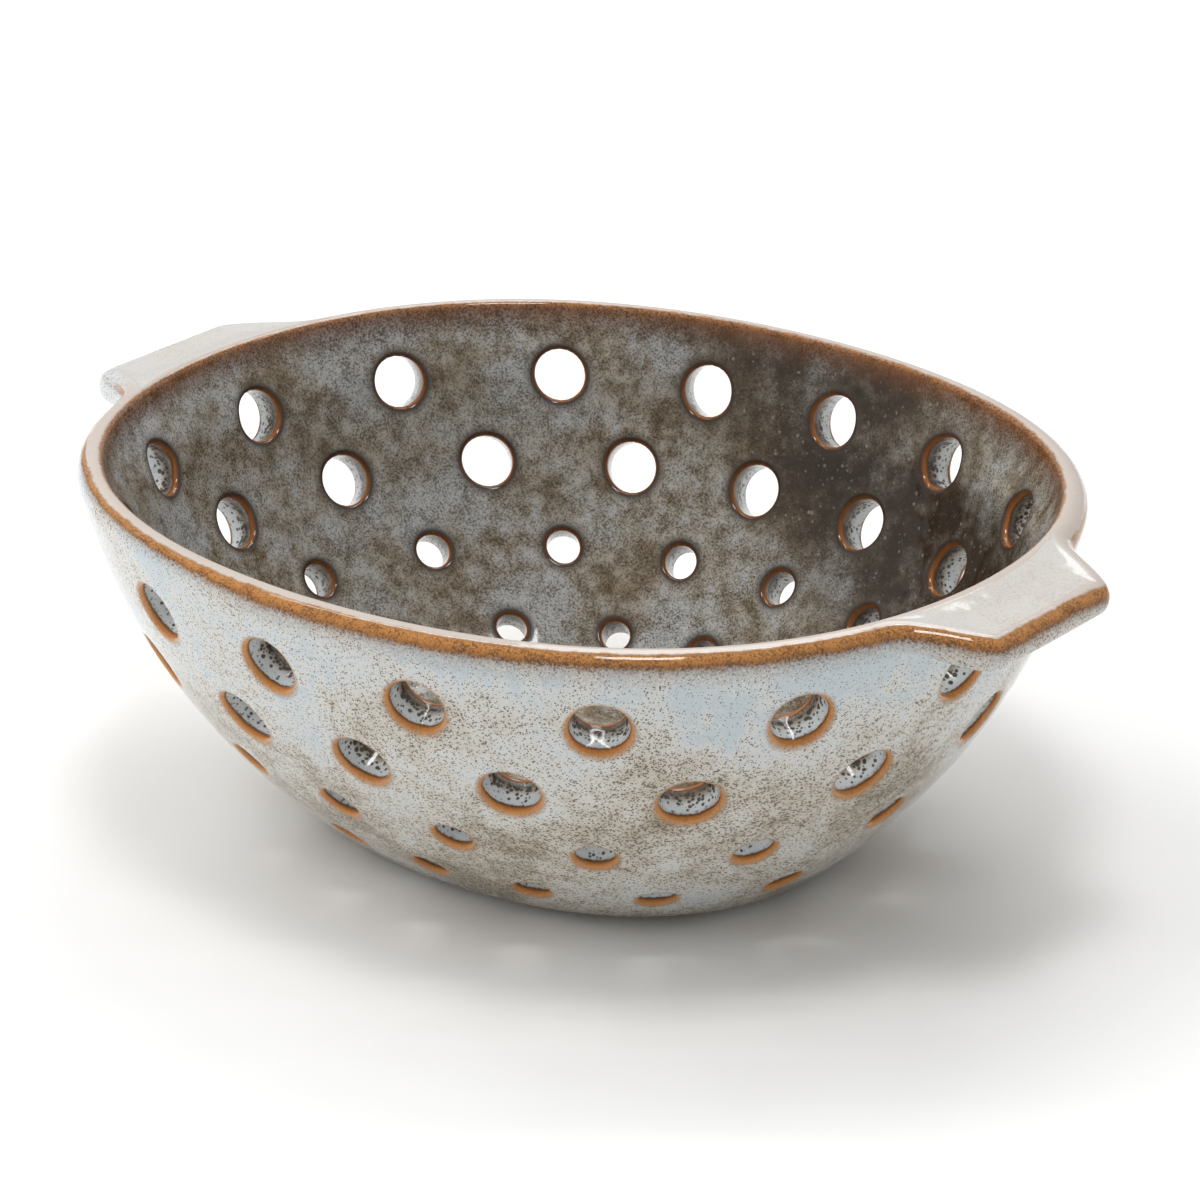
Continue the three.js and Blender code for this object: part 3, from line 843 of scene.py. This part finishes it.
def outer_edge_rust(tree, field, glaze):
    """Round the outer edges of the holes: a dark line, then caramel that fades into the glaze, further down
    than up."""
    pinch = add(tree, "MapRange", {
        "Value": field.hole_high, "From Min": -1.0, "From Max": 1.0, "To Min": 0.85, "To Max": 1.7,
    })
    pinched = add(tree, "Math", {0: field.hole_out, 1: pinch}, operation="MULTIPLY")
    run = add(tree, "Math", {0: field.ragged, 1: OUTER_RAGGED, 2: pinched}, operation="MULTIPLY_ADD")
    ring_place = add(tree, "MapRange", {"Value": run, "From Min": -2 * MM, "From Max": 2 * MM})
    ring = add(tree, "ValToRGB", {0: ring_place}, output="Color", stops=[
        (0.17, "#4a3220", 0), (0.24, "#4a3220", 0.8), (0.29, "#8a5528", 1), (0.38, "#c27d39", 1),
        (0.56, "#c88a4b", 1), (0.68, "#ae8054", 0.7), (0.98, "#9a8064", 0),
    ])
    ring_broken = broken(tree, field, ring.node.outputs["Alpha"], amount=0.4, least=0.1)
    outer_side = add(tree, "MapRange", {"Value": field.inside, "From Min": 0.5, "From Max": 0.3})
    share = add(tree, "Math", {0: ring_broken, 1: outer_side}, operation="MULTIPLY")
    grain = add(tree, "Math", {0: field.rust_grain, 1: RING_GRAIN_SHARE}, operation="MULTIPLY")
    rust = add(tree, "Mix", {0: grain, 6: ring, 7: linear(RING_GRAIN)}, **MIX)
    return add(tree, "Mix", {0: share, 6: glaze, 7: rust}, **MIX)


def inner_edge_rust(tree, field, glaze):
    """Round the inner edges of the holes: thin copper, and a dark line beyond it."""
    run = add(tree, "Math", {0: field.ragged, 1: INNER_RAGGED, 2: field.hole_in}, operation="MULTIPLY_ADD")
    ring_place = add(tree, "MapRange", {"Value": run, "From Min": -2 * MM, "From Max": 4 * MM})
    ring = add(tree, "ValToRGB", {0: ring_place}, output="Color", stops=[
        (0.10, "#4a2f1b", 0), (0.17, "#6b4023", 1), (0.25, "#a8682c", 1), (0.31, "#8a5426", 1),
        (0.40, "#4a301d", 1), (0.46, "#33261d", 0.9), (0.55, "#3d332a", 0.5), (0.78, "#4a4036", 0),
    ])
    inner_side = add(tree, "MapRange", {"Value": field.inside, "From Min": 0.5, "From Max": 0.7})
    share = add(tree, "Math", {0: ring.node.outputs["Alpha"], 1: inner_side}, operation="MULTIPLY")
    return add(tree, "Mix", {0: share, 6: glaze, 7: ring}, **MIX)


def lip_way(tree, field):
    """Way over the lip by which its colours are laid, from 0 well inside to 1 well outside. Streaks run down
    the inside. The band outside sits lower on the +Y side and at the -X end, and narrows towards that end."""
    run_down = add(tree, "MapRange", {
        "Value": field.streak, "From Min": 0.3, "From Max": 0.7, "To Min": -0.8 * MM, "To Max": 0.8 * MM,
    })
    on_inside = add(tree, "MapRange", {
        "Value": field.lip_run, "From Min": -1 * MM, "From Max": -4 * MM,
    })
    on_outside = add(tree, "MapRange", {
        "Value": field.lip_run, "From Min": 0.0, "From Max": 2.5 * MM,
    })
    sunk_side = add(tree, "MapRange", {
        "Value": field.across, "From Min": 4 * MM, "From Max": 30 * MM, "To Min": 0.0, "To Max": -2.4 * MM,
    }, **EASED)
    sunk_end = add(tree, "MapRange", {
        "Value": field.along, "From Min": -70 * MM, "From Max": -86 * MM, "To Min": 0.0, "To Max": -2.4 * MM,
    }, **EASED)
    sunk = add(tree, "Math", {0: sunk_side, 1: sunk_end}, operation="MINIMUM")
    past_crest = add(tree, "MapRange", {
        "Value": field.lip_run, "From Min": PALE_CREST, "From Max": FAR, "To Max": FAR - PALE_CREST,
    })
    narrowing = add(tree, "MapRange", {
        "Value": field.along, "From Min": -5 * MM, "From Max": -75 * MM, "To Max": 2.0,
    })
    run = field.lip_run
    for move, where in ((run_down, on_inside), (sunk, on_outside), (past_crest, narrowing)):
        run = add(tree, "Math", {0: move, 1: where, 2: run}, operation="MULTIPLY_ADD")
    ragged = add(tree, "Math", {0: field.ragged, 1: run}, operation="ADD")
    return add(tree, "MapRange", {"Value": ragged, "From Min": -10 * MM, "From Max": 10 * MM})


def lip_rust(tree, field, glaze):
    """Over the lip: speckled rust inside, a pale crest, and a golden-brown band on the outer round that all
    but ends on the handle at the -X end."""
    way = lip_way(tree, field)
    band = add(tree, "ValToRGB", {0: way}, output="Color", stops=[
        (0.05, "#4a3420", 0), (0.20, "#5c3c22", 0.4), (0.33, "#7a4b29", 0.65), (0.42, "#9a6232", 0.8),
        (0.455, "#a87240", 0.9), (0.485, "#c6bab0", 1), (0.565, "#cbc0b7", 1), (0.588, "#a5784a", 1),
        (0.61, "#c08549", 1), (0.67, "#b67b40", 1), (0.70, "#9c6a3a", 0.95), (0.73, "#906b4a", 0.75),
        (0.76, "#987a60", 0.55), (0.82, "#a8917c", 0.36), (0.90, "#b09c88", 0.26), (1.0, "#b09c88", 0),
    ])
    pale_end = add(tree, "MapRange", {
        "Value": field.along, "From Min": -96 * MM, "From Max": -104 * MM, "To Max": 0.85,
    })
    pale_lug = add(tree, "Math", {0: field.lug_top, 1: pale_end}, operation="MAXIMUM")
    covered = add(tree, "Math", {0: field.bore, 1: pale_lug}, operation="MAXIMUM")
    bare = add(tree, "Math", {0: 1.0, 1: covered}, operation="SUBTRACT")
    band_broken = broken(tree, field, band.node.outputs["Alpha"], amount=0.5, least=0.15)
    share = add(tree, "Math", {0: band_broken, 1: bare}, operation="MULTIPLY")
    grain_on = add(tree, "ValToRGB", {0: way}, output="Alpha", stops=[
        (0.46, "#000000", 1), (0.485, "#000000", 0.1), (0.585, "#000000", 0.1), (0.61, "#000000", 0.9),
    ])
    grain = add(tree, "Math", {0: field.rust_grain, 1: grain_on}, operation="MULTIPLY")
    rust = add(tree, "Mix", {0: grain, 6: band, 7: linear(LIP_GRAIN)}, **MIX)
    return add(tree, "Mix", {0: share, 6: glaze, 7: rust}, **MIX)


def reactive_glaze():
    """Glossy reactive glaze on stoneware, dipped and fired: milky blue-grey with iron speckle in clouds
    outside, darker olive-brown inside where it pooled thick, with painted shadow in the darkest of it, and
    broken to rust where it ran thin over the lip and the hole edges. The tops of the handles are thick,
    nearly plain milky glaze, lightened in part as a painted sheen. Painted shade also darkens the outside
    towards the foot and the inner ends of the holes' walls, and painted light brightens their outer ends."""
    material, tree, surface = shader("reactive_glazed_stoneware")
    field = glaze_fields(tree)
    outside, iron = outside_glaze(tree, field)
    inner_share = add(tree, "MapRange", {
        "Value": field.inside, "From Min": 0.55, "From Max": 1.0,
    }, **EASED)
    glaze = add(tree, "Mix", {0: inner_share, 6: outside, 7: inside_glaze(tree, field)}, **MIX)
    glaze = add(tree, "Mix", {0: field.bore, 6: glaze, 7: hole_wall_glaze(tree, field)}, **MIX)
    glaze = outer_edge_rust(tree, field, glaze)
    glaze = inner_edge_rust(tree, field, glaze)
    glaze = lip_rust(tree, field, glaze)
    # Handle tops: nearly plain milky glaze, partly a painted sheen
    milk_and_sheen_share = add(tree, "Math", {0: field.lug_top, 1: LUG_MILK_AND_SHEEN_SHARE}, operation="MULTIPLY")
    glaze = add(tree, "Mix", {0: milk_and_sheen_share, 6: glaze, 7: linear(LUG_MILK_AND_SHEEN)}, **MIX)

    peel = add(tree, "TexNoise", {"Vector": field.place, "Scale": 1 / PEEL, "Detail": 1.0})
    normal = add(tree, "Bump", {
        "Height": peel, "Distance": PEEL_DEPTH, "Strength": 1.0,
    }, output="Normal")
    roughness = add(tree, "MapRange", {"Value": iron, "To Min": 0.06, "To Max": 0.16})
    tree.links.new(glaze, surface.inputs["Base Color"])
    tree.links.new(normal, surface.inputs["Normal"])
    tree.links.new(roughness, surface.inputs["Roughness"])
    surface.inputs["IOR"].default_value = GLAZE_IOR
    return material


def bare_stoneware():
    """Fired stoneware wiped free of glaze: matt, sandy buff with fine iron grit."""
    material, tree, surface = shader("bare_fired_stoneware")
    place = add(tree, "TexCoord", output="Object")
    grit = add(tree, "TexNoise", {"Vector": place, "Scale": 1 / GRIT, "Detail": 3.0})
    colour = add(tree, "ValToRGB", {0: grit}, output="Color", stops=[
        (0.34, "#8d7a64", 1), (0.5, "#bda88c", 1), (0.66, "#cdbca2", 1),
    ])
    normal = add(tree, "Bump", {"Height": grit, "Distance": GRIT_DEPTH}, output="Normal")
    tree.links.new(colour, surface.inputs["Base Color"])
    tree.links.new(normal, surface.inputs["Normal"])
    surface.inputs["Roughness"].default_value = 0.75
    return material


def dress(piece, node_name):
    """A piece rides on the bowl's one body and stands for a node, whose own part is hidden."""
    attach(piece, "root")
    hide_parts(node_name)


glaze = reactive_glaze()
dress(glazed_body(glaze), "bowl_body")
dress(lug_handle("glazed_lug_right", False, glaze), "lug_handle_right")
dress(lug_handle("glazed_lug_left", True, glaze), "lug_handle_left")
dress(foot_ring(bare_stoneware()), "foot_ring")

# Camera, where the photograph was taken from: angles in degrees round the bowl and above it, and a long lens
CAMERA_DISTANCE = 1.0
CAMERA_PLACE = (39.0, 21.66)    # direction from the middle of the rim to the lens
CAMERA_AIM = (38.74, 23.10)     # direction that the lens looks back along
CAMERA_LENS = 153.1             # millimetres, as the width of the sensor is
CAMERA_SENSOR = 36


def direction(azimuth, elevation):
    """Unit vector from the bowl towards a viewer: azimuth 0 stands on the -Y side, and turns towards +X."""
    turn = math.radians(azimuth)
    rise = math.radians(elevation)
    return Vector((math.sin(turn) * math.cos(rise), -math.cos(turn) * math.cos(rise), math.sin(rise)))


lens = bpy.data.cameras.new("camera")
lens.lens = CAMERA_LENS
lens.sensor_width = CAMERA_SENSOR
camera = bpy.data.objects.new("camera", lens)
camera.location = Vector((0, 0, lip_level)) + direction(*CAMERA_PLACE) * CAMERA_DISTANCE
camera.rotation_euler = (-direction(*CAMERA_AIM)).to_track_quat("-Z", "Y").to_euler()
bpy.context.scene.collection.objects.link(camera)
bpy.context.scene.camera = camera

# Floor
FLOOR_SIZE = 6.0
corner = FLOOR_SIZE / 2
floor_corners = [(-corner, -corner, 0), (corner, -corner, 0), (corner, corner, 0), (-corner, corner, 0)]
floor_mesh = bpy.data.meshes.new("floor")
floor_mesh.from_pydata(floor_corners, [], [(0, 1, 2, 3)])
floor = bpy.data.objects.new("floor", floor_mesh)
bpy.context.scene.collection.objects.link(floor)
floor_material, _, floor_surface = shader("pale_floor")
floor_surface.inputs["Base Color"].default_value = linear("#f6f6f5")
floor_surface.inputs["Roughness"].default_value = 0.9
floor_surface.inputs["Specular IOR Level"].default_value = 0.0
floor_mesh.materials.append(floor_material)


def softbox(name, azimuth, elevation, distance, sizes, power, mirrored):
    """A studio light, so wide and so high, that faces the bowl from a direction, and that the glaze mirrors
    or not."""
    lamp = bpy.data.lights.new(name, "AREA")
    lamp.shape = "RECTANGLE"
    lamp.size, lamp.size_y = sizes
    lamp.energy = power
    light = bpy.data.objects.new(name, lamp)
    way = direction(azimuth, elevation)
    light.location = way * distance
    light.rotation_euler = (-way).to_track_quat("-Z", "Y").to_euler()
    light.visible_glossy = mirrored
    bpy.context.scene.collection.objects.link(light)


softbox("key_softbox", azimuth=-62, elevation=42, distance=4.8, sizes=(5.1, 5.1), power=140.0, mirrored=False)
softbox("back_softbox", azimuth=205, elevation=55, distance=1.3, sizes=(0.6, 0.6), power=3.5, mirrored=True)
softbox("top_softbox", azimuth=40, elevation=78, distance=1.4, sizes=(0.3, 0.3), power=4.0, mirrored=True)
softbox("strip_softbox", azimuth=219, elevation=68, distance=1.4, sizes=(1.8, 0.05), power=3.0, mirrored=True)

# World: an even white surround, seen white by the camera, and lighting the bowl at a lower level
SURROUND = 0.5
world = bpy.data.worlds.new("white_surround")
world.use_nodes = True
bpy.context.scene.world = world
sky = world.node_tree
seen = add(sky, "LightPath", output="Is Camera Ray")
strength = add(sky, "MapRange", {"Value": seen, "To Min": SURROUND, "To Max": 1.0})
sky.nodes["Background"].inputs["Color"].default_value = (1, 1, 1, 1)
sky.links.new(strength, sky.nodes["Background"].inputs["Strength"])

bpy.context.scene.view_settings.view_transform = "Standard"
